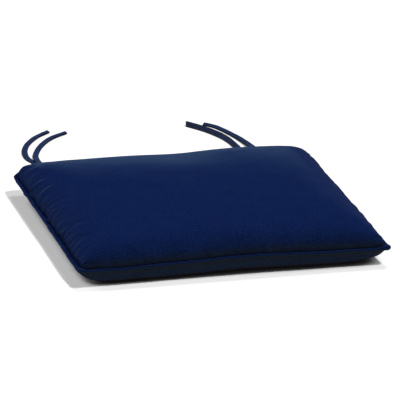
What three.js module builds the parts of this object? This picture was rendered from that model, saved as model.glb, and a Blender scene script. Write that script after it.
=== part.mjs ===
// Square knife-edge seat cushion of navy canvas, with a piped seam all round and a pair of
// folded canvas ties at each back corner. Millimetres, +Z up. The underside rests on Z = 0,
// the front edge faces -Y and the ties run out to +Y.
import * as THREE from 'three';
import { ParametricGeometry } from 'three/addons/geometries/ParametricGeometry.js';
import { mergeGeometries, mergeVertices } from 'three/addons/utils/BufferGeometryUtils.js';

// Seam, measured along the middle of the piping
const seamWidth = 508;
const seamDepth = 508;
const seamHeight = 32.2;
const cornerDip = 1.5; // the seam hangs this much lower at the four corners
const frontDip = 1; // and along the front edge
const frontArch = { height: 3.4, centre: 0.1, spread: 0.33 }; // raised stretch of front seam

// Panels and filling
const crown = { height: 31.95, across: 11.2, power: 16, roundness: 0.51, cornerFill: 0.985 };
const dome = { height: 11, across: 7, power: 3.2 }; // the slow rise over the whole top
const belly = { height: 41, across: 7.5, power: 7.5, roundness: 0.5, cornerFill: 0.72 };
const sideDraw = 1.5; // the side edges pull in this much at mid length
const frontDraw = 3.6; // the front and back edges
const cornerRadius = 2.5;
const bluntCorner = { push: 4, spread: 0.14 }; // the front left corner is pushed in a little
const gridCells = 36; // facets along each panel edge

// Low swells and hollows of the filling under the top panel; u and v run -1 to 1
const swells = [
  { u: 0.06, v: 0.8, height: -2.9, spread: 0.22 },
  { u: 0.43, v: 0.8, height: 1.1, spread: 0.14 },
  { u: 0.85, v: 0.85, height: -1, spread: 0.28 },
  { u: 0.85, v: 0.15, height: 0.5, spread: 0.2 },
];

// Piping
const weltDiameter = 5;
const weltSides = 8;
const sewnGap = 0.3; // between pieces that are sewn together

// Ties, flat tapes folded and stitched from the same canvas
const tapeWidth = 10.5;
const tapeThickness = 2.3;
const tapeRounding = 0.7; // softened long edges
const tapeSteps = 30;
const rollRamp = 0.2; // part of its length over which a tape starts to tilt
const rollEnd = [0.75, 1]; // stretch over which it goes over to its end tilt

// Routes run from the back seam to the cut end: x, y, z of the tape's middle.
// midRoll and endRoll tilt the tape about its own length, in degrees, from the part of its
// length that rollFrom gives.
const ties = [
  {
    name: 'tie_left_outer',
    rollFrom: 0.52,
    midRoll: 0,
    endRoll: 0,
    route: [
      [-196, 250.1, 27.4],
      [-196, 258, 27],
      [-195.5, 269, 24],
      [-195, 283, 18.6],
      [-194, 300, 12],
      [-192, 318, 6.4],
      [-190, 338, 2.9],
      [-186.6, 362, 1.7],
      [-184.3, 388, 1.5],
      [-186, 415, 1.5],
      [-191, 432.5, 1.7],
      [-192.2, 450.5, 2],
      [-189.6, 473.5, 2.3],
      [-185, 492, 2.3],
      [-177.3, 513, 2.3],
      [-165.8, 535, 2.3],
      [-152.2, 555, 2.3],
      [-139, 569, 2.2],
      [-125, 582, 2.2],
    ],
  },
  {
    name: 'tie_left_inner',
    rollFrom: 0.52,
    midRoll: 2,
    endRoll: 2,
    route: [
      [-184, 250.1, 27.4],
      [-184, 258, 27.2],
      [-183.5, 270, 25.6],
      [-183, 286, 22],
      [-182.5, 304, 17.2],
      [-182, 324, 12],
      [-180.8, 346, 8],
      [-180, 372, 5.8],
      [-179.7, 396.5, 5],
      [-179.7, 417, 4.6],
      [-177, 443, 3.3],
      [-168.4, 471.5, 2.4],
      [-159, 494.5, 2.4],
      [-148.3, 514.5, 2.4],
      [-136.6, 532.5, 2.4],
      [-123.5, 547.5, 2.4],
      [-110.3, 558.5, 2.2],
      [-96, 569, 2.2],
    ],
  },
  {
    name: 'tie_right_near',
    rollFrom: 0.35,
    midRoll: -46,
    endRoll: -52,
    route: [
      [184, 250.1, 27.4],
      [184, 258, 27.1],
      [183, 270, 24.8],
      [182, 286, 20],
      [180, 304, 14],
      [178, 324, 8.8],
      [175.5, 346, 5.5],
      [173, 372, 4.6],
      [170.5, 393.5, 4.6],
      [169, 411, 4.6],
      [167.8, 428.5, 4.6],
      [165.4, 451.5, 4.6],
      [160, 475.5, 4.7],
      [153.3, 494.5, 4.8],
      [145.5, 513.1, 4.8],
      [136.4, 530.5, 4.7],
      [127, 545.5, 4.7],
      [116.3, 561.2, 4.7],
    ],
  },
  {
    name: 'tie_right_far',
    rollFrom: 0.35,
    midRoll: -8,
    endRoll: -10,
    route: [
      [196, 250.1, 27.4],
      [196, 258, 27.2],
      [196, 270, 25.6],
      [196.3, 286, 22.2],
      [196.5, 304, 18.2],
      [196.5, 324, 14.2],
      [196.2, 346, 11],
      [195.6, 372, 8.2],
      [194.5, 398, 6.1],
      [192.5, 425, 4.4],
      [188.5, 455, 3.1],
      [183.5, 480, 2.4],
      [177.7, 502, 2],
      [171.4, 522, 1.9],
      [164.2, 540, 1.9],
      [156.3, 552.5, 1.9],
      [147.6, 561.5, 1.9],
    ],
  },
];

const canvas = { color: 0x10214c, roughness: 0.9, metalness: 0 };

// Places along an edge, -1 to 1, close together near the corners.
const edgePlace = (t) => -Math.cos(Math.PI * t);

const bell = (distance, spread) => Math.exp(-((distance / spread) ** 2));

// Moves a point of a rectangle's corner square on to a corner of the given radius.
function roundedCorner(x, y, halfX, halfY, radius) {
  const across = Math.abs(x) - (halfX - radius);
  const along = Math.abs(y) - (halfY - radius);
  if (across <= 0 || along <= 0) return [x, y];
  const reach = Math.max(across, along);
  const angle = Math.atan2(along, across);
  return [
    Math.sign(x) * (halfX - radius + reach * Math.cos(angle)),
    Math.sign(y) * (halfY - radius + reach * Math.sin(angle)),
  ];
}

// Where panel place (u, v) lies seen from above; outset moves the whole outline outwards.
function planPoint(u, v, outset = 0) {
  const edge = -weltDiameter / 2 - sewnGap + outset;
  const halfX = seamWidth / 2 + edge;
  const halfY = seamDepth / 2 + edge;
  const [x, y] = roundedCorner(u * halfX, v * halfY, halfX, halfY, cornerRadius + outset);
  const blunt = bluntCorner.push * bell(Math.hypot(u + 1, v + 1), bluntCorner.spread);
  return [
    x * (1 - (sideDraw / halfX) * (1 - (y / halfY) ** 2)) + blunt,
    y * (1 - (frontDraw / halfY) * (1 - (x / halfX) ** 2)) + blunt / 2,
  ];
}

// Height of the seam at panel place (u, v), carried on across the panel inside it.
function seamLevel(u, v) {
  const frontness = ((1 - v) / 2) ** 2;
  const arch = frontArch.height * bell(u - frontArch.centre, frontArch.spread);
  return seamHeight - cornerDip * (u * v) ** 4 + frontness * (arch - frontDip);
}

// How full a panel is at (u, v): 0 on the seam, 1 well inside it.
function fullness(u, v, { across, power, roundness, cornerFill }) {
  const [side, end] = [Math.abs(u) ** across, Math.abs(v) ** power];
  const open = ((1 - side) * (1 - end)) / (1 - cornerFill * side * end);
  return Math.max(0, open) ** roundness;
}

function topLevel(u, v) {
  const swell = swells.reduce(
    (sum, s) => sum + s.height * bell(Math.hypot(u - s.u, v - s.v), s.spread),
    0,
  );
  const slow = dome.height * (1 - Math.abs(u) ** dome.across) * (1 - Math.abs(v) ** dome.power);
  return seamLevel(u, v) + (crown.height + swell) * fullness(u, v, crown) + slow;
}

// The underside is pressed flat where it rests.
function undersideLevel(u, v) {
  return Math.max(0, seamLevel(u, v) - belly.height * fullness(u, v, belly));
}

// Joins a surface's shared edges and drops the faces that have closed to a line.
function sealed(geometry) {
  geometry.deleteAttribute('normal');
  geometry.deleteAttribute('uv');
  const joined = mergeVertices(geometry, 1e-3);
  const corners = joined.getIndex().array;
  const kept = [];
  for (let i = 0; i < corners.length; i += 3) {
    const [a, b, c] = corners.slice(i, i + 3);
    if (a !== b && b !== c && c !== a) kept.push(a, b, c);
  }
  joined.setIndex(kept);
  joined.computeVertexNormals();
  return joined;
}

// The filled body: top and bottom panels that meet edge to edge in the seam.
function pillowGeometry() {
  const top = (s, t, target) => {
    const [u, v] = [edgePlace(s), edgePlace(t)];
    target.set(...planPoint(u, v), topLevel(u, v));
  };
  const underside = (s, t, target) => {
    const [u, v] = [edgePlace(t), edgePlace(s)];
    target.set(...planPoint(u, v), undersideLevel(u, v));
  };
  const panels = [top, underside].map((face) => new ParametricGeometry(face, gridCells, gridCells));
  return sealed(mergeGeometries(panels));
}

// Place (u, v) on the panels' edge at a distance of 0 to 4 sides round it.
function edgeAt(sides) {
  const side = Math.floor(sides) % 4;
  const t = edgePlace(sides - Math.floor(sides));
  return [[t, -1], [1, t], [-t, 1], [-1, -t]][side];
}

// The piping: a round cord that follows the seam all the way round.
function weltGeometry() {
  const radius = weltDiameter / 2;
  const outset = radius + sewnGap;
  const beside = 1e-3;
  const surface = (s, t, target) => {
    const sides = 4 * s;
    const [u, v] = edgeAt(sides);
    const [x, y] = planPoint(u, v, outset);
    const before = planPoint(...edgeAt(sides + 4 - beside), outset);
    const after = planPoint(...edgeAt(sides + beside), outset);
    const outward = new THREE.Vector2(after[1] - before[1], before[0] - after[0]).normalize();
    const angle = 2 * Math.PI * t;
    const reach = radius * Math.cos(angle);
    const level = seamLevel(u, v) + radius * Math.sin(angle);
    target.set(x + reach * outward.x, y + reach * outward.y, level);
  };
  return sealed(new ParametricGeometry(surface, 4 * gridCells, weltSides));
}

// A tape's section: its half width and half thickness with the long edges softened.
function tapeSection() {
  const [w, h] = [tapeWidth / 2, tapeThickness / 2];
  const [flat, side] = [w - tapeRounding, h - tapeRounding];
  return [
    [w, side], [w, -side], [flat, -h], [-flat, -h],
    [-w, -side], [-w, side], [-flat, h], [flat, h],
  ];
}

function rollAt(t, { rollFrom, midRoll, endRoll }) {
  const tilt = midRoll * THREE.MathUtils.smoothstep(t, rollFrom, rollFrom + rollRamp);
  const change = (endRoll - midRoll) * THREE.MathUtils.smoothstep(t, ...rollEnd);
  return THREE.MathUtils.degToRad(tilt + change);
}

// A tie: its section carried along its route, level across except where it rolls.
function tieGeometry(tie) {
  const section = tapeSection();
  const points = tie.route.map((place) => new THREE.Vector3(...place));
  const path = new THREE.CatmullRomCurve3(points, false, 'centripetal');
  const rows = tapeSteps + 2; // the first and last rows close the cut ends
  const surface = (s, t, target) => {
    const row = Math.round(t * rows);
    const place = THREE.MathUtils.clamp((row - 1) / tapeSteps, 0, 1);
    path.getPointAt(place, target);
    if (row === 0 || row === rows) return;
    const forward = path.getTangentAt(place);
    const side = new THREE.Vector3(forward.y, -forward.x, 0).normalize();
    side.applyAxisAngle(forward, rollAt(place, tie));
    const face = new THREE.Vector3().crossVectors(side, forward);
    const [across, above] = section[Math.round(s * section.length) % section.length];
    target.addScaledVector(side, across).addScaledVector(face, above);
  };
  return sealed(new ParametricGeometry(surface, section.length, rows));
}

function piece(name, geometry) {
  const mesh = new THREE.Mesh(geometry, new THREE.MeshStandardMaterial(canvas));
  mesh.name = name;
  return mesh;
}

const cushion = new THREE.Group();
cushion.add(piece('pillow', pillowGeometry()));
cushion.add(piece('welt', weltGeometry()));
ties.forEach((tie) => cushion.add(piece(tie.name, tieGeometry(tie))));

export default cushion;
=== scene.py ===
import math

import bpy
import numpy as np
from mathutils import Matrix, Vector


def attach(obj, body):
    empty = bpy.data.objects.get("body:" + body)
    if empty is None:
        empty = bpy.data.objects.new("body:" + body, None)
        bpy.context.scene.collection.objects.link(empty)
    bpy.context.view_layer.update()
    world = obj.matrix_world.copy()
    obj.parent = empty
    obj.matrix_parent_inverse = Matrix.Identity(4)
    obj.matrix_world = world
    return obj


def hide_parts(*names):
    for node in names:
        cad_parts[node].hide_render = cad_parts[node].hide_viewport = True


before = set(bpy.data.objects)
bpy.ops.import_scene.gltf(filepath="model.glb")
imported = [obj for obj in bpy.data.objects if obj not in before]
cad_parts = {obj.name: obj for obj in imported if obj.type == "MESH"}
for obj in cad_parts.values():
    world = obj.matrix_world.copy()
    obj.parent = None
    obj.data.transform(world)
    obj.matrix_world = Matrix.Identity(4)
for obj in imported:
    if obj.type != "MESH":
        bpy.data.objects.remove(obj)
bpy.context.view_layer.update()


# The camera stands in front of the cushion, a little to its left, and looks down on it from eight
# metres away through a long lens, so that its edges stay almost parallel.
camera_distance = 8.0
camera_left = math.radians(13.706)
camera_up = math.radians(18.385)
camera_aim = Vector((0.0416, 0.1489, 0.0))
camera_lens = 440.4
half_pixel = 0.00125  # of the picture's width: its middle lies this far off the lens's axis

toward_camera = Vector((
    -math.sin(camera_left) * math.cos(camera_up),
    -math.cos(camera_left) * math.cos(camera_up),
    math.sin(camera_up),
))
camera_place = toward_camera * camera_distance
bpy.ops.object.camera_add(location=camera_place)
camera = bpy.context.object
camera.name = "camera"
camera.rotation_euler = (camera_aim - camera_place).to_track_quat("-Z", "Y").to_euler()
camera.data.lens = camera_lens
camera.data.shift_x = -half_pixel
camera.data.shift_y = half_pixel
camera.data.clip_start = 0.1
camera.data.clip_end = 100
bpy.context.scene.camera = camera


# The ties are strips of navy canvas, folded into a flat tape with both raw edges inside and
# topstitched along both sides. One end of each is caught in the back seam, and the other is cut
# off plain. They lie loose on the floor behind the cushion.
tape_width = 0.0105
tape_thickness = 0.0023
tape_edge = 0.0011  # softness of the folded edges
tape_pinch = 0.022  # share by which its width wavers
tape_curl = 0.00012  # how far its edges wander up and down
stitch_inset = 0.0017
stitch_sink = 0.00035
stitch_groove = 0.0006
stitch_pitch = 0.0032
cut_reach = 0.03  # the last stretch of a tape, which its slanted cut draws out
roll_reach = 0.2  # share of the length over which a tape tilts
tape_step = 0.0012
tape_across = 14

# Each route runs from the back seam to the cut end: x, y, z of the tape's middle, in metres. From
# roll_from of its length the tape tilts to roll degrees, and at the end it is at end_roll. cut is
# the slant of its end, in degrees.
ties = {
    "tie_left_outer": {
        "roll_from": 0.52, "roll": 0, "end_roll": 0, "cut": -27,
        "route": [
            (-0.196, 0.2501, 0.0274), (-0.196, 0.258, 0.027), (-0.1955, 0.269, 0.024),
            (-0.195, 0.283, 0.0186), (-0.194, 0.3, 0.012), (-0.192, 0.318, 0.0064),
            (-0.19, 0.338, 0.0029), (-0.1866, 0.362, 0.0017), (-0.1843, 0.388, 0.0015),
            (-0.186, 0.415, 0.0015), (-0.191, 0.4325, 0.0017), (-0.1922, 0.4505, 0.002),
            (-0.1896, 0.4735, 0.0023), (-0.185, 0.492, 0.0023), (-0.1773, 0.513, 0.0023),
            (-0.1658, 0.535, 0.0023), (-0.1522, 0.555, 0.0023), (-0.139, 0.569, 0.0022),
            (-0.125, 0.582, 0.0022),
        ],
    },
    "tie_left_inner": {
        "roll_from": 0.52, "roll": 2, "end_roll": 2, "cut": -28,
        "route": [
            (-0.184, 0.2501, 0.0274), (-0.184, 0.258, 0.0272), (-0.1835, 0.27, 0.0256),
            (-0.183, 0.286, 0.022), (-0.1825, 0.304, 0.0172), (-0.182, 0.324, 0.012),
            (-0.1808, 0.346, 0.008), (-0.18, 0.372, 0.0058), (-0.1797, 0.3965, 0.005),
            (-0.1797, 0.417, 0.0046), (-0.177, 0.443, 0.0033), (-0.1684, 0.4715, 0.0024),
            (-0.159, 0.4945, 0.0024), (-0.1483, 0.5145, 0.0024), (-0.1366, 0.5325, 0.0024),
            (-0.1235, 0.5475, 0.0024), (-0.1103, 0.5585, 0.0022), (-0.096, 0.569, 0.0022),
        ],
    },
    "tie_right_near": {
        "roll_from": 0.35, "roll": -46, "end_roll": -52, "cut": 26,
        "route": [
            (0.184, 0.2501, 0.0274), (0.184, 0.258, 0.0271), (0.183, 0.27, 0.0248),
            (0.182, 0.286, 0.02), (0.18, 0.304, 0.014), (0.178, 0.324, 0.0088),
            (0.1755, 0.346, 0.0055), (0.173, 0.372, 0.0046), (0.1705, 0.3935, 0.0046),
            (0.169, 0.411, 0.0046), (0.1678, 0.4285, 0.0046), (0.1654, 0.4515, 0.0046),
            (0.16, 0.4755, 0.0047), (0.1533, 0.4945, 0.0048), (0.1455, 0.5131, 0.0048),
            (0.1364, 0.5305, 0.0047), (0.127, 0.5455, 0.0047), (0.1163, 0.5612, 0.0047),
        ],
    },
    "tie_right_far": {
        "roll_from": 0.35, "roll": -8, "end_roll": -10, "cut": 12,
        "route": [
            (0.196, 0.2501, 0.0274), (0.196, 0.258, 0.0272), (0.196, 0.27, 0.0256),
            (0.1963, 0.286, 0.0222), (0.1965, 0.304, 0.0182), (0.1965, 0.324, 0.0142),
            (0.1962, 0.346, 0.011), (0.1956, 0.372, 0.0082), (0.1945, 0.398, 0.0061),
            (0.1925, 0.425, 0.0044), (0.1885, 0.455, 0.0031), (0.1835, 0.48, 0.0024),
            (0.1777, 0.502, 0.002), (0.1714, 0.522, 0.0019), (0.1642, 0.54, 0.0019),
            (0.1563, 0.5525, 0.0019), (0.1476, 0.5615, 0.0019),
        ],
    },
}


def follow(route, step):
    """Evenly spaced places along a smooth line through the route's points, and the line's length."""
    p = np.array(route)
    p = np.vstack([2 * p[0] - p[1], p, 2 * p[-1] - p[-2]])
    t = np.linspace(0, 1, 24, endpoint=False)[:, None]
    line = []
    for a, b, c, d in zip(p, p[1:], p[2:], p[3:]):
        ab, bc, cd = (math.sqrt(math.dist(*ends)) for ends in ((a, b), (b, c), (c, d)))
        leaving = bc * ((b - a) / ab - (c - a) / (ab + bc)) + (c - b)
        arriving = (c - b) - bc * (d - b) / (bc + cd) + bc * (d - c) / cd
        bend = 2 * (b - c) + leaving + arriving
        line.append(b + leaving * t + (c - b - leaving - bend) * t**2 + bend * t**3)
    line = np.vstack([*line, p[-2]])
    run = np.r_[0, np.cumsum(np.linalg.norm(np.diff(line, axis=0), axis=1))]
    places = np.linspace(0, run[-1], round(run[-1] / step) + 1)
    return np.column_stack([np.interp(places, run, axis) for axis in line.T]), run[-1]


def ease(low, high, x):
    t = np.clip((x - low) / (high - low), 0, 1)
    return t * t * (3 - 2 * t)


def unit(vectors):
    return vectors / np.linalg.norm(vectors, axis=-1, keepdims=True)


def new_piece(name, points, faces, cloth_places=None):
    """A mesh object at the origin. cloth_places are each point's metres across and along the cloth."""
    mesh = bpy.data.meshes.new(name)
    mesh.from_pydata(points.tolist(), [], faces)
    mesh.update()
    if cloth_places is not None:
        corners = np.zeros(len(mesh.loops), int)
        mesh.loops.foreach_get("vertex_index", corners)
        mesh.uv_layers.new(name="cloth")
        mesh.uv_layers["cloth"].uv.foreach_set("vector", cloth_places[corners].astype(np.float32).ravel())
    piece = bpy.data.objects.new(name, mesh)
    bpy.context.scene.collection.objects.link(piece)
    return piece


def ring_faces(rings, sides):
    """Quads between rings of points, each ring closed."""
    return [
        (r * sides + s, r * sides + (s + 1) % sides, (r + 1) * sides + (s + 1) % sides, (r + 1) * sides + s)
        for r in range(rings - 1)
        for s in range(sides)
    ]


def tape_frame(centres, tie):
    """Unit vectors along, across and up out of the tape at each of its centres."""
    ahead = unit(np.gradient(centres, axis=0))
    across = unit(np.column_stack([ahead[:, 1], -ahead[:, 0], 0 * ahead[:, 0]]))
    up = np.cross(across, ahead)
    t = np.linspace(0, 1, len(centres))
    roll = tie["roll"] * ease(tie["roll_from"], tie["roll_from"] + roll_reach, t)
    roll += (tie["end_roll"] - tie["roll"]) * ease(0.75, 1, t)
    roll = np.radians(roll)[:, None]
    return ahead, across * np.cos(roll) - up * np.sin(roll), up * np.cos(roll) + across * np.sin(roll)


def tape_points(centres, tie, seed):
    """The tape's rings: a flat section with soft folded edges and a sunken row of stitches at each side."""
    ahead, across, up = tape_frame(centres, tie)
    half = tape_width / 2
    x = half * np.sin(np.linspace(-np.pi / 2, np.pi / 2, tape_across))
    edge = np.clip((half - np.abs(x)) / tape_edge, 0, 1)
    rise = tape_thickness / 2 * np.sqrt(1 - (1 - edge) ** 2)
    x = np.r_[x, x[-2:0:-1]]
    rise = np.r_[rise, -rise[-2:0:-1]]
    run = np.linspace(0, 1, len(centres)) * tie["length"]
    holes = 0.75 - 0.25 * np.cos(2 * np.pi * run / stitch_pitch)[:, None]
    sunk = stitch_sink * np.exp(-(((np.abs(x) - half + stitch_inset) / stitch_groove) ** 2))
    z = rise - np.sign(rise) * sunk * holes
    waver = np.random.default_rng(seed).normal(size=(2, len(run) // 6 + 4))
    knots = np.linspace(0, run[-1], waver.shape[1])
    narrow = 1 - tape_pinch * np.abs(np.interp(run, knots, waver[0]))[:, None]
    lift = tape_curl * np.interp(run, knots, waver[1])[:, None]
    slant = math.tan(math.radians(tie["cut"])) * ease(tie["length"] - cut_reach, tie["length"], run)
    points = centres[:, None] + across[:, None] * (x * narrow)[..., None]
    points += up[:, None] * (z + lift * (x / half) ** 3)[..., None]
    points += ahead[:, None] * (slant[:, None] * x)[..., None]
    return points, np.stack(np.broadcast_arrays(x + 0 * run[:, None], run[:, None]), -1)


# All the cloth is one plain weave acrylic canvas, dyed navy right through and matt. It has small
# pills, slubs and blotches, and a faint pale painted sheen mixed into its colour where it is seen edge on.
threads_per_metre = 1100
yarn_share = 0.55  # how much the yarn's own unevenness shows in the colour
cloth_marks = {  # how many to the metre, detail, roughness, and how much each shows in the colour
    "blotches": (28, 3, 0.55, 0.2),
    "pills": (420, 2, 0.6, 0.9),
    "slubs": (190, 2, 0.6, 0.5),
}
tone_range = (0.72, 1.43)  # of all these together, from the deep navy to the pale navy
crumple = (160, 3, 0.6)  # how many small dents to the metre, detail, roughness
weave_depth = 0.00018
weave_strength = 0.6
painted_sheen_colour = (0.0245, 0.052, 0.122)  # the painted sheen's colour
painted_sheen_facing = (0.685, 0.83)  # how edge on the cloth is where the painted sheen starts and where it is full
painted_sheen_lie = [  # the painted sheen shows on the top, and less where the cloth leans to the right or the left
    ("Z", 0.3, 0.9, 0, 1),
    ("X", 0.02, 0.28, 1, 0.12),
    ("X", -0.6, -0.25, 0.5, 1),
]


def node(tree, kind, *inputs, **settings):
    """Adds a shader node, with its first inputs linked or set in order, and returns its first output."""
    made = tree.nodes.new("ShaderNode" + kind)
    for name, value in settings.items():
        setattr(made, name, value)
    for socket, value in zip(made.inputs, inputs):
        if isinstance(value, bpy.types.NodeSocket):
            tree.links.new(value, socket)
        elif value is not None:
            socket.default_value = value
    return made.outputs[0]


def total(tree, result, *others):
    for other in others:
        result = node(tree, "Math", result, other, operation="ADD")
    return result


def product(tree, result, *others):
    for other in others:
        result = node(tree, "Math", result, other, operation="MULTIPLY")
    return result


def parts_of(tree, vector):
    """The X, Y and Z of a vector."""
    return node(tree, "SeparateXYZ", vector).node.outputs


def blended(tree, share, *colours):
    """The colour between two, each of them a socket or three numbers."""
    mix = node(tree, "Mix", share, data_type="RGBA").node
    for socket, colour in zip(mix.inputs[6:8], colours):
        if isinstance(colour, bpy.types.NodeSocket):
            tree.links.new(colour, socket)
        else:
            socket.default_value = (*colour, 1)
    return mix.outputs[2]


def speckle(tree, place, scale, detail, roughness):
    return node(tree, "TexNoise", place, None, scale, detail, roughness, noise_dimensions="2D")


def canvas_weave():
    """A node group: over-and-under threads of uneven yarn, with blotches, pills and slubs."""
    tree = bpy.data.node_groups.new("canvas weave", "ShaderNodeTree")
    face = tree.interface
    face.new_socket("Place", in_out="INPUT", socket_type="NodeSocketVector")
    face.new_socket("Threads per metre", in_out="INPUT", socket_type="NodeSocketFloat")
    face.new_socket("Deep navy", in_out="INPUT", socket_type="NodeSocketColor")
    face.new_socket("Pale navy", in_out="INPUT", socket_type="NodeSocketColor")
    face.new_socket("Colour", in_out="OUTPUT", socket_type="NodeSocketColor")
    face.new_socket("Roughness", in_out="OUTPUT", socket_type="NodeSocketFloat")
    face.new_socket("Height", in_out="OUTPUT", socket_type="NodeSocketFloat")
    given = tree.nodes.new("NodeGroupInput").outputs
    result = tree.nodes.new("NodeGroupOutput").inputs
    threads = node(tree, "VectorMath", given["Place"], operation="SCALE")
    tree.links.new(given["Threads per metre"], threads.node.inputs["Scale"])
    rounds, cells = [], []
    for way in parts_of(tree, threads)[:2]:
        wave = node(tree, "Math", product(tree, way, math.pi), operation="SINE")
        rounds.append(node(tree, "Math", wave, operation="ABSOLUTE"))
        cells.append(node(tree, "Math", way, operation="FLOOR"))
    over = node(tree, "Math", total(tree, *cells), 2, operation="FLOORED_MODULO")
    yarns = []
    for stretch in ((1, 0.03, 1), (0.03, 1, 1)):
        drawn = node(tree, "VectorMath", threads, stretch, operation="MULTIPLY")
        yarns.append(speckle(tree, drawn, 0.8, 3, 0.6))
    lying = [
        product(tree, rounds[i], total(tree, 0.55, product(tree, rounds[1 - i], 0.45)))
        for i in (0, 1)
    ]
    height = node(tree, "Mix", over, None, lying[1], lying[0])
    yarn = node(tree, "Mix", over, None, yarns[1], yarns[0])
    tones = [product(tree, yarn, yarn_share)]
    for *grain, share in cloth_marks.values():
        tones.append(product(tree, speckle(tree, given["Place"], *grain), share))
    tone = node(tree, "MapRange", total(tree, *tones), *tone_range, 0, 1)
    tree.links.new(blended(tree, tone, given["Deep navy"], given["Pale navy"]), result["Colour"])
    tree.links.new(node(tree, "MapRange", yarn, 0.3, 0.7, 0.82, 0.98), result["Roughness"])
    crumpled = product(tree, speckle(tree, given["Place"], *crumple), 1.6)
    tree.links.new(total(tree, height, product(tree, yarn, 1.2), crumpled), result["Height"])
    return tree


weave = canvas_weave()


def canvas(name, deep, pale, turn=0, finish=None):
    """A canvas material. turn is the angle at which the piece was cut from the cloth."""
    material = bpy.data.materials.new(name)
    material.use_nodes = True
    tree = material.node_tree
    shader = tree.nodes["Principled BSDF"]
    cloth_place = node(tree, "UVMap", uv_map="cloth")
    cloth = tree.nodes.new("ShaderNodeGroup")
    cloth.node_tree = weave
    tree.links.new(node(tree, "Mapping", cloth_place, None, (0, 0, turn)), cloth.inputs["Place"])
    cloth.inputs["Threads per metre"].default_value = threads_per_metre
    cloth.inputs["Deep navy"].default_value = (*deep, 1)
    cloth.inputs["Pale navy"].default_value = (*pale, 1)
    # Painted sheen: a pale colour mixed into the base colour where the cloth is seen edge on and faces up.
    edge_on = node(tree, "LayerWeight", 0.5).node.outputs["Facing"]
    painted_sheen_share = node(tree, "MapRange", edge_on, *painted_sheen_facing, 0, 1, interpolation_type="SMOOTHSTEP")
    lie = parts_of(tree, tree.nodes.new("ShaderNodeNewGeometry").outputs["Normal"])
    for axis, *ends in painted_sheen_lie:
        painted_sheen_share = product(tree, painted_sheen_share, node(tree, "MapRange", lie[axis], *ends))
    colour = blended(tree, painted_sheen_share, cloth.outputs["Colour"], painted_sheen_colour)
    if finish:
        colour = finish(tree, cloth_place, colour)
    tree.links.new(colour, shader.inputs["Base Color"])
    tree.links.new(cloth.outputs["Roughness"], shader.inputs["Roughness"])
    bump = tree.nodes.new("ShaderNodeBump")
    bump.inputs["Strength"].default_value = weave_strength
    bump.inputs["Distance"].default_value = weave_depth
    tree.links.new(cloth.outputs["Height"], bump.inputs["Height"])
    tree.links.new(bump.outputs["Normal"], shader.inputs["Normal"])
    shader.inputs["Specular IOR Level"].default_value = 0.01
    return material


# The tapes are a paler navy than the panels. A tape has painted shade along its folds.
paler_tape_navy = (0.0008, 0.006, 0.032), (0.034, 0.056, 0.145)
thread_colour = (0.04, 0.065, 0.16)
thread_half = (0.0003, 0.0006)  # from its middle, where a stitch's colour starts to fade and is gone
painted_fold_run = (0.0016, 0.0006)  # from the edge, where the painted shade starts and where it is full
painted_fold_shade = 0.2


def sewn_tape(tree, cloth_place, colour):
    """The colour of a folded tape: painted shade along its folds, with a row of pale thread beside each."""
    half = tape_width / 2
    across, along, _ = parts_of(tree, cloth_place)
    side = node(tree, "Math", across, operation="ABSOLUTE")
    painted_fold_share = node(tree, "MapRange", side, half - painted_fold_run[0], half - painted_fold_run[1], 1, painted_fold_shade)
    off_row = node(tree, "Math", side, half - stitch_inset, operation="SUBTRACT")
    off_row = node(tree, "Math", off_row, operation="ABSOLUTE")
    in_row = node(tree, "MapRange", off_row, *thread_half, 1, 0)
    stitch = node(tree, "Math", product(tree, along, 2 * math.pi / stitch_pitch), operation="SINE")
    on_top = node(tree, "MapRange", stitch, -0.6, -0.2, 0, 1)
    sewn = blended(tree, product(tree, in_row, on_top), colour, thread_colour)
    # Painted shade: the colour is scaled down along both folds of the tape.
    folded = node(tree, "VectorMath", sewn, operation="SCALE")
    tree.links.new(painted_fold_share, folded.node.inputs["Scale"])
    return folded


tape_canvas = canvas("tape canvas", *paler_tape_navy, finish=sewn_tape)


def make_tie(name, tie, seed):
    centres, tie["length"] = follow(tie["route"], tape_step)
    points, places = tape_points(centres, tie, seed)
    rings, sides = points.shape[:2]
    faces = ring_faces(rings, sides)
    faces.append(tuple(range(sides))[::-1])
    faces.append(tuple((rings - 1) * sides + s for s in range(sides)))
    points[..., 2] = np.maximum(points[..., 2], 0.0001)
    piece = new_piece(name + "_tape", points.reshape(-1, 3), faces, places.reshape(-1, 2))
    piece.data.materials.append(tape_canvas)
    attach(piece, "root")
    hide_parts(name)
    return piece


tie_pieces = [make_tie(name, tie, seed) for seed, (name, tie) in enumerate(ties.items())]


# The pillow is two square panels of navy canvas, sewn edge to edge round a slab of foam wrapped in
# fibre. The panels are cut larger than the seam that gathers them, so the cloth puckers at the
# seam, rises steeply over the filling and is flat only underneath.
seam_half = 0.254  # from the middle to the middle of the piping
piping_radius = 0.0025
sewn_in = 0.0003
seam_height = 0.0322
corner_dip = 0.0015
front_dip = 0.001
arch_height = 0.0034
arch_centre = 0.1
arch_spread = 0.33
ear_height = 0.0075  # the back seam stands up beside the left corner
ear_along = (-1, -0.945, -0.84, -0.6)  # u where it starts to rise, is up, starts to fall and is down
ear_from = 0.92  # and v
side_draw = 0.0015
front_draw = 0.0036
corner_radius = 0.0025
crown = {"height": 0.03195, "across": 11.2, "power": 16, "roundness": 0.51, "corner_fill": 0.985}
dome_height = 0.011  # the slow rise over the whole top, quicker at the sides than at the back
dome_power = (7, 3.2)
belly = {"height": 0.041, "across": 7.5, "power": 7.5, "roundness": 0.5, "corner_fill": 0.72}
blunt_front = 0.004  # the front left corner is pushed in this much
blunt_front_spread = 0.14
blunt_back = 0.0016  # and the back left one this much
blunt_back_spread = 0.07
groove_depth = 0.0034  # how far the panels are drawn in behind the piping
groove_height = 0.0052
groove_rise = 0.0045  # it reaches this much further up and down the front wall
groove_lost = 0.75, 0.9  # shares of its depth that are lost in the corners and along the front
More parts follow.
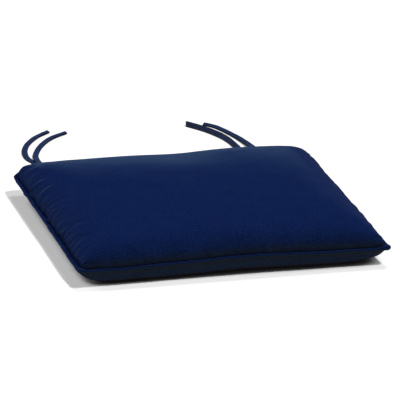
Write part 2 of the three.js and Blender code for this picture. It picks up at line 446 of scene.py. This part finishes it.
swells = [  # low swells and hollows of the filling: u, v, height, spread
    (0.06, 0.8, -0.0029, 0.22),
    (0.43, 0.8, 0.0011, 0.14),
    (0.85, 0.85, -0.001, 0.28),
    (0.85, 0.15, 0.0005, 0.2),
]
panel_cells = 110
even_out = 22  # how soon the threads lie evenly spaced on the way to a seam
cut_half = 0.272  # half the side of a panel as cut, inside its seam allowance


def seam_plan(u, v, outset):
    """Plan place of panel place (u, v), each -1 to 1. outset moves the whole outline outwards."""
    half = seam_half - piping_radius - sewn_in + outset
    radius = corner_radius + outset
    x, y = u * half, v * half
    over = np.maximum(np.abs(x) - (half - radius), 0), np.maximum(np.abs(y) - (half - radius), 0)
    angle = np.arctan2(over[1], over[0])
    reach = np.maximum(*over)
    in_corner = (over[0] > 0) & (over[1] > 0)
    x = np.where(in_corner, np.sign(x) * (half - radius + reach * np.cos(angle)), x)
    y = np.where(in_corner, np.sign(y) * (half - radius + reach * np.sin(angle)), y)
    front = blunt_front * np.exp(-((u + 1) ** 2 + (v + 1) ** 2) / blunt_front_spread**2)
    back = blunt_back * np.exp(-((u + 1) ** 2 + (v - 1) ** 2) / blunt_back_spread**2)
    drawn_x = x * (1 - side_draw / half * (1 - (y / half) ** 2))
    drawn_y = y * (1 - front_draw / half * (1 - (x / half) ** 2))
    return drawn_x + front + back, drawn_y + (front - back) / 2


def seam_level(u, v):
    """The height of the seam's middle: an arch along the front, and the ear at the back left."""
    arch = arch_height * np.exp(-(((u - arch_centre) / arch_spread) ** 2))
    ear = ear_height * ease(*ear_along[:2], u) * (1 - ease(*ear_along[2:], u)) * ease(ear_from, 1, v)
    return seam_height - corner_dip * (u * v) ** 4 + ((1 - v) / 2) ** 2 * (arch - front_dip) + ear


def fullness(u, v, across, power, roundness, corner_fill, **_):
    """How full the filling stands, from 0 at the seams to 1 in the middle."""
    side, end = np.abs(u) ** across, np.abs(v) ** power
    return np.maximum(0, (1 - side) * (1 - end) / (1 - corner_fill * side * end)) ** roundness


def top_level(u, v):
    swell = sum(h * np.exp(-((u - a) ** 2 + (v - b) ** 2) / spread**2) for a, b, h, spread in swells)
    dome = dome_height * (1 - np.abs(u) ** dome_power[0]) * (1 - np.abs(v) ** dome_power[1])
    return seam_level(u, v) + (crown["height"] + swell) * fullness(u, v, **crown) + dome


def underside_level(u, v):
    return np.maximum(0, seam_level(u, v) - belly["height"] * fullness(u, v, **belly))


def seam_places():
    """Where evenly spaced threads of the cloth lie between one seam and the other, -1 to 1."""
    u = np.sin(np.linspace(-np.pi / 2, np.pi / 2, 20001))
    rise = top_level(u, 0)
    run = np.r_[0, np.cumsum(np.hypot(np.diff(u) * seam_half, np.diff(rise)))]
    return np.interp(np.linspace(0, run[-1], panel_cells + 1), run, u)


def drawn_in(u, v, level):
    """Points of a panel. Close to the seam it turns in under itself, to the stitches behind the piping."""
    x, y = seam_plan(u, v, 0)
    front = v + np.abs(u) < 0
    corner_loss, front_loss = groove_lost
    reach = groove_height + groove_rise * (1 - v) / 2 * front
    depth = groove_depth * (1 - corner_loss * np.abs(u * v) ** 14) * (1 - front_loss * front)
    share = 1 - depth / seam_half * np.exp(-(((level - seam_level(u, v)) / reach) ** 2))
    return np.stack([x * share, y * share, level], -1).reshape(-1, 3)


def make_pillow():
    even = np.linspace(-1, 1, panel_cells + 1)
    filled = seam_places()
    s, t = np.meshgrid(even, even, indexing="ij")
    u = s + (filled[:, None] - s) * (1 - np.abs(t) ** even_out)
    v = t + (filled[None, :] - t) * (1 - np.abs(s) ** even_out)
    cells = panel_cells + 1
    index = np.arange(cells * cells).reshape(cells, cells)
    quads = np.stack([index[:-1, :-1], index[1:, :-1], index[1:, 1:], index[:-1, 1:]], -1).reshape(-1, 4)
    top = drawn_in(u, v, top_level(u, v))
    under = drawn_in(u, v, underside_level(u, v))
    flat = np.stack([s * cut_half, t * cut_half], -1).reshape(-1, 2)
    faces = np.vstack([quads, quads[:, ::-1] + len(top)])
    points = np.vstack([top, under])
    places = np.vstack([flat, flat])
    pillow = new_piece("filled_pillow", points, faces.tolist(), places)
    cut = np.column_stack([places, np.repeat([0.001, 0], len(flat))])
    rim = (np.maximum(np.abs(s), np.abs(t)) > 1 - 1e-9).ravel()
    return pillow, cut, np.r_[rim, rim]


pillow, cut_flat, rim = make_pillow()
slack_size = 0.0001  # the cloth's first small unevenness, from which its folds grow
foam_hold = 0.05  # how firmly the foam holds the cloth in place
smooth_from, smooth_full = 0.015, 0.07  # from the seam, where the foam starts to smooth the folds
smooth_share = 0.85  # and takes away this much of them
move_cap = 0.004


def settle(piece, flat, sewn, frames=20):
    """Lets the cut cloth find its own folds over the filling. The sewn edge stays where it is."""
    start = np.zeros((len(piece.data.vertices), 3), np.float32)
    piece.data.vertices.foreach_get("co", start.ravel())
    slack = start + np.random.default_rng(7).normal(scale=slack_size, size=start.shape) * ~sewn[:, None]
    piece.data.vertices.foreach_set("co", slack.astype(np.float32).ravel())
    piece.shape_key_add(name="sewn and filled")
    piece.shape_key_add(name="cut flat").data.foreach_set("co", flat.astype(np.float32).ravel())
    held = piece.vertex_groups.new(name="held")
    held.add(np.flatnonzero(~sewn).tolist(), foam_hold, "REPLACE")
    held.add(np.flatnonzero(sewn).tolist(), 1.0, "REPLACE")
    cloth = piece.modifiers.new("canvas over foam", "CLOTH")
    cloth.collision_settings.use_collision = False
    settings = cloth.settings
    settings.rest_shape_key = piece.data.shape_keys.key_blocks["cut flat"]
    settings.vertex_group_mass = "held"
    settings.effector_weights.gravity = 0
    settings.use_pressure = True
    settings.uniform_pressure_force = 0.5
    settings.mass = 0.15
    settings.tension_stiffness = 80
    settings.compression_stiffness = 80
    settings.shear_stiffness = 20
    settings.bending_stiffness = 0.005
    settings.tension_damping = 1
    settings.compression_damping = 1
    settings.shear_damping = 1
    for number in range(1, frames + 1):
        bpy.context.scene.frame_set(number)
    moved = np.zeros((len(start), 3), np.float32)
    settled = piece.evaluated_get(bpy.context.evaluated_depsgraph_get())
    settled.data.vertices.foreach_get("co", moved.ravel())
    moved -= start
    inside = cut_half - np.abs(flat[:, :2]).max(axis=1, keepdims=True)
    moved *= 1 - smooth_share * ease(smooth_from, smooth_full, inside)
    piece.modifiers.remove(cloth)
    piece.shape_key_clear()
    piece.vertex_groups.remove(held)
    far = np.linalg.norm(moved, axis=1, keepdims=True)
    end = start + moved * np.minimum(1, move_cap / np.maximum(far, 1e-9))
    piece.data.vertices.foreach_set("co", end.astype(np.float32).ravel())
    bpy.context.scene.frame_set(1)


settle(pillow, cut_flat, rim)


# Puckers and creases run inwards from the seams. For each seam: the smallest and largest gap
# between them, their depths, lengths and widths, and how much they lean towards the back.
puckers = [
    ((0, -1), (0.018, 0.034), (0.0012, 0.0024), (0.045, 0.090), (0.0036, 0.0058), 0.32),
    ((0, -1), (0.006, 0.011), (0.0008, 0.0018), (0.022, 0.055), (0.0024, 0.0034), 0.35),
    ((0, 1), (0.006, 0.010), (0.0007, 0.0015), (0.038, 0.062), (0.0024, 0.0034), 0.3),
    ((0, 1), (0.030, 0.055), (0.0008, 0.0016), (0.030, 0.060), (0.0045, 0.0065), 0.3),
    ((1, -1), (0.010, 0.018), (0.0003, 0.0009), (0.014, 0.032), (0.0028, 0.0040), 0.1),
    ((1, -1), (0.030, 0.060), (0.0006, 0.0012), (0.025, 0.045), (0.0040, 0.0070), 0.1),
    ((1, 1), (0.010, 0.020), (0.0003, 0.0009), (0.012, 0.030), (0.0028, 0.0042), 0.1),
]
pucker_start = 0.012  # from a corner
trough_share = 0.7  # of the puckers. The others are ridges.
swell_size = 0.00012  # the filling's own unevenness
swell_spread = 0.045


def pucker(places, seam, at, length, width, depth, slant):
    """A trough or ridge that starts at a seam and bends a little. places are metres on the cloth."""
    along = places[:, 1 - seam[0]]
    inward = cut_half - places[:, seam[0]] * seam[1]
    lean = slant * inward * (0.4 + 0.6 * np.minimum(1, inward / length))
    across = (along - at - lean) / (width * (1 + 0.6 * inward / length))
    taper = np.clip(1 - inward / length, 0, 1) ** 1.2 * (0.35 + 0.65 * np.clip(inward / 0.006, 0, 1))
    return depth * np.exp(-(across**2)) * taper


def uneven_filling(places):
    """Low, wide lumps and hollows that show through the whole panel."""
    knots = round(2 * cut_half / swell_spread) + 2
    heights = np.random.default_rng(23).normal(size=(knots, knots))
    where = (places / (2 * cut_half) + 0.5) * (knots - 1.001)
    first = np.clip(np.floor(where).astype(int), 0, knots - 2)
    share = ease(0, 1, where - first)
    i, j = first.T
    a, b = share.T
    near = heights[i, j] * (1 - b) + heights[i, j + 1] * b
    far = heights[i + 1, j] * (1 - b) + heights[i + 1, j + 1] * b
    return swell_size * (near * (1 - a) + far * a)


def shape_panels(piece):
    """Puckers along the seams, creases and the unevenness of the filling, then the flat underside."""
    mesh = piece.data
    count = len(mesh.vertices)
    points = np.zeros((count, 3), np.float32)
    normals = np.zeros((count, 3), np.float32)
    places = np.zeros((len(mesh.loops), 2), np.float32)
    corners = np.zeros(len(mesh.loops), int)
    mesh.vertices.foreach_get("co", points.ravel())
    mesh.vertices.foreach_get("normal", normals.ravel())
    mesh.uv_layers["cloth"].uv.foreach_get("vector", places.ravel())
    mesh.loops.foreach_get("vertex_index", corners)
    on_cloth = np.zeros((count, 2))
    on_cloth[corners] = places
    inside = cut_half - np.abs(on_cloth).max(axis=1)
    rise = uneven_filling(on_cloth) * ease(0, 0.03, inside)
    chance = np.random.default_rng(11)
    for seam, gaps, depths, lengths, widths, lean in puckers:
        for side in (1, -1):
            facing = normals[:, 2] * side > -0.2
            at = -cut_half + pucker_start
            while at < cut_half - pucker_start:
                depth = chance.uniform(*depths) * chance.choice((-1, 1), p=(trough_share, 1 - trough_share))
                size = chance.uniform(*lengths), chance.uniform(*widths), depth
                rise += pucker(on_cloth, seam, at, *size, chance.normal(scale=lean)) * facing
                at += chance.uniform(*gaps)
    points += normals * rise[:, None]
    points[:, 2] = np.maximum(points[:, 2], 0)
    mesh.vertices.foreach_set("co", points.ravel())
    mesh.update()


# The panels are a fresh dark navy. Close to the front seam they are painted greyer and lighter, as painted
# bounce light from the floor.
navy = (0.0012, 0.0065, 0.042), (0.0064, 0.021, 0.106)
painted_bounce_colour = (0.0078, 0.0172, 0.052)
painted_bounce_reach = 0.015


def painted_bounce_front(tree, cloth_place, colour):
    """The colour of a panel: painted greyer and lighter close to the front seam, as bounce light from the
    floor.
    """
    along = parts_of(tree, cloth_place)["Y"]
    painted_bounce_share = node(tree, "MapRange", along, -cut_half, painted_bounce_reach - cut_half, 1, 0)
    return blended(tree, painted_bounce_share, colour, painted_bounce_colour)


bpy.ops.object.select_all(action="DESELECT")
bpy.context.view_layer.objects.active = pillow
pillow.select_set(True)
bpy.ops.object.mode_set(mode="EDIT")
bpy.ops.mesh.select_all(action="SELECT")
bpy.ops.mesh.remove_doubles(threshold=1e-6)
bpy.ops.object.mode_set(mode="OBJECT")
finer = pillow.modifiers.new("finer cloth", "SUBSURF")
finer.levels = finer.render_levels = 1
finer.boundary_smooth = "PRESERVE_CORNERS"
bpy.ops.object.modifier_apply(modifier=finer.name)
shape_panels(pillow)
bpy.ops.object.shade_smooth()
# Its finish paints bounce light close to the front seam.
pillow.data.materials.append(canvas("panel canvas", *navy, finish=painted_bounce_front))
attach(pillow, "root")
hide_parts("pillow")


# The piping is a 5 mm cord wrapped in a strip of the same canvas cut on the bias. It is sewn into
# the seam between the two panels all the way round, so it stands out of the edge as one bead.
piping_step = 0.002
piping_sides = 18
piping_tail = 0.0068  # from the cord's middle to the stitches inside the seam
tail_in_corner = 0.7  # share by which it is longer in a corner
tail_pinch = 0.25  # share by which the stitches flatten it
corner_bulk = (0.12, 0.5)  # cloth folded into the left and right corners, which thickens them
corner_lift = 0.0014
corner_run = 0.013
bias_turn = math.pi / 4
piping_wrinkles = ((0.04, 150, 3), (0.035, 420, 4))  # share of the radius, number round, seed
piping_sway = (0.00022, 70, 5)  # metres sideways, number round, seed
piping_bob = (0.0003, 60, 6)  # and up and down


def seam_round(outset, step):
    """Even places round the seam: points, the ways along and out of it, and how far round they are."""
    t = np.linspace(-1, 1, 4001)[:-1]
    one = np.ones_like(t)
    u = np.r_[t, one, -t, -one]
    v = np.r_[-one, t, one, -t]
    x, y = seam_plan(u, v, outset)
    line = np.column_stack([x, y, seam_level(u, v)])
    line = np.vstack([line, line[:1]])
    run = np.r_[0, np.cumsum(np.linalg.norm(np.diff(line, axis=0), axis=1))]
    places = np.linspace(0, run[-1], round(run[-1] / step), endpoint=False)
    points = np.column_stack([np.interp(places, run, axis) for axis in line.T])
    ahead = unit(np.roll(points, -1, axis=0) - np.roll(points, 1, axis=0))
    out = unit(np.column_stack([ahead[:, 1], -ahead[:, 0], 0 * places]))
    return points, ahead, out, places


def wander(count, knots, seed):
    """Random numbers that change smoothly round a closed ring."""
    value = np.random.default_rng(seed).normal(size=knots)
    where = np.linspace(0, knots, count, endpoint=False)
    left = np.floor(where).astype(int)
    share = ease(0, 1, where - left)
    return value[left] * (1 - share) + value[(left + 1) % knots] * share


def make_piping():
    centre, ahead, out, run = seam_round(piping_radius + sewn_in, piping_step)
    rings = len(run)
    angle = np.linspace(0, 2 * np.pi, piping_sides, endpoint=False)
    corner = np.exp(-((seam_half - np.abs(centre[:, :2]).min(axis=1)) / corner_run) ** 2)
    wrinkled = sum(share * wander(rings, number, seed) for share, number, seed in piping_wrinkles)
    folded = np.where(centre[:, 0] < 0, *corner_bulk) * corner
    radius = piping_radius * (1 + wrinkled + folded)[:, None]
    reach = radius * np.cos(angle)
    tail = ease(0.5, 1, -np.cos(angle))
    reach = reach - tail * (piping_tail * (1 + tail_in_corner * corner[:, None]) - piping_radius)
    height = radius * np.sin(angle) * (1 - tail_pinch * tail)
    sway, *swaying = piping_sway
    bob, *bobbing = piping_bob
    centre = centre + out * (sway * wander(rings, *swaying))[:, None]
    centre[:, 2] += bob * wander(rings, *bobbing) + corner_lift * corner
    up = np.cross(ahead, out)
    points = centre[:, None] + out[:, None] * reach[..., None] + up[:, None] * height[..., None]
    index = np.arange(rings * piping_sides).reshape(rings, piping_sides)
    after, beside = np.roll(index, -1, axis=0), np.roll(index, -1, axis=1)
    faces = np.stack([index, after, np.roll(after, -1, axis=1), beside], -1).reshape(-1, 4)
    piece = new_piece("piping", points.reshape(-1, 3), faces.tolist())
    girth = 2 * np.pi * piping_radius / piping_sides
    around = np.arange(piping_sides) * girth
    face_around = np.stack([around, around, around + girth, around + girth], -1)
    step = run[1]
    face_along = np.stack([run, run + step, run + step, run], -1)
    uv = np.stack(np.broadcast_arrays(face_around[None], face_along[:, None]), -1)
    piece.data.uv_layers.new(name="cloth")
    piece.data.uv_layers["cloth"].uv.foreach_set("vector", uv.astype(np.float32).ravel())
    return piece


piping = make_piping()
bpy.ops.object.select_all(action="DESELECT")
bpy.context.view_layer.objects.active = piping
piping.select_set(True)
bpy.ops.object.mode_set(mode="EDIT")
bpy.ops.mesh.select_all(action="SELECT")
bpy.ops.mesh.normals_make_consistent(inside=False)
bpy.ops.object.mode_set(mode="OBJECT")
bpy.ops.object.shade_smooth()
piping.data.materials.append(canvas("bias canvas", *navy, turn=bias_turn))
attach(piping, "root")
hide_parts("welt")


# The floor is a plain white sweep with a painted glow where it is open, as an over-exposed backdrop
# looks. The glow fades out under and beside the cushion as a painted contact shadow, darker towards
# the right. What it throws back on to the cushion is warmer and weaker than what is seen of it, with
# a painted warm glow that only the cushion sees.
floor_size = 60
floor_white = (0.48, 0.48, 0.48, 1)
floor_glow = 0.31
floor_bounce = (1, 0.64, 0.26, 1)
# painted warm light that only the cushion sees coming from the floor
painted_warm_glow = (0.5, 0.15, 0.03, 1)
floor_shelter = 0.09  # how far up the floor looks for what covers it, for its painted contact shadow
floor_closed = 0.24  # it has no glow, a painted shadow, when it is this open or less
floor_open = (0.28, 0.5)  # and glows fully at this, from its left part to its right part, so the painted shadow is darker on the right
floor_parts = (-0.15, 0.3)


def floor_finish():
    paint = bpy.data.materials.new("pale floor")
    paint.use_nodes = True
    tree = paint.node_tree
    shader = tree.nodes["Principled BSDF"]
    shader.inputs["Base Color"].default_value = floor_white
    shader.inputs["Roughness"].default_value = 1
    shader.inputs["Specular IOR Level"].default_value = 0
    shader.inputs["Emission Color"].default_value = (1, 1, 1, 1)
    # Painted contact shadow: ambient occlusion cuts the floor's glow under and beside the cushion.
    painted_shadow_occlusion = tree.nodes.new("ShaderNodeAmbientOcclusion")
    painted_shadow_occlusion.samples = 24
    painted_shadow_occlusion.inputs["Distance"].default_value = floor_shelter
    across = parts_of(tree, tree.nodes.new("ShaderNodeTexCoord").outputs["Object"])["X"]
    fully_open = node(tree, "MapRange", across, *floor_parts, *floor_open)
    glow = node(tree, "MapRange", painted_shadow_occlusion.outputs["AO"], floor_closed, fully_open, 0, floor_glow)
    tree.links.new(glow, shader.inputs["Emission Strength"])
    # Painted light: rays from the cushion see a warm floor with a warm glow of its own.
    bounce = node(tree, "BsdfDiffuse", floor_bounce)
    painted_glow_seen_by_cushion = node(tree, "Emission", painted_warm_glow)
    thrown_back = node(tree, "AddShader", bounce, painted_glow_seen_by_cushion)
    seen = tree.nodes.new("ShaderNodeLightPath").outputs["Is Camera Ray"]
    either = node(tree, "MixShader", seen, thrown_back, shader.outputs[0])
    tree.links.new(either, tree.nodes["Material Output"].inputs["Surface"])
    return paint


bpy.ops.mesh.primitive_plane_add(size=floor_size)
floor = bpy.context.object
floor.name = "floor"
floor.data.materials.append(floor_finish())


# A high lamp from the right throws the crisp shadow. A wide soft one on the right lights only the
# cushion, another one behind it on its left lights everything, and a fourth only the floor.
lamps = {  # direction towards the lamp, strength, width in degrees, and what it is kept to
    "high lamp": ((0.30, 0.26, 1), 1.26, 10, None),
    "soft lamp on the right": ((1, 0, 0.6), 1.73, 50, [pillow, piping, *tie_pieces]),
    "soft lamp at the back": ((-0.7, 0.7, 0.5), 1.88, 50, None),
    "floor lamp": ((0.28, -0.40, 0.75), 3.7, 6, [floor]),
}
room_light = 0.1
for lamp_name, (toward_lamp, strength, width, lit_things) in lamps.items():
    turn = Vector(toward_lamp).to_track_quat("Z", "Y").to_euler()
    bpy.ops.object.light_add(type="SUN", rotation=turn)
    lamp = bpy.context.object
    lamp.name = lamp_name
    lamp.data.energy = strength
    lamp.data.angle = math.radians(width)
    if lit_things:
        lit = bpy.data.collections.new("lit by the " + lamp_name)
        for thing in lit_things:
            lit.objects.link(thing)
        lamp.light_linking.receiver_collection = lit

room = bpy.data.worlds.new("white room")
bpy.context.scene.world = room
room.use_nodes = True
room.node_tree.nodes["Background"].inputs["Color"].default_value = (1, 1, 1, 1)
room.node_tree.nodes["Background"].inputs["Strength"].default_value = room_light
bpy.context.scene.view_settings.view_transform = "Standard"
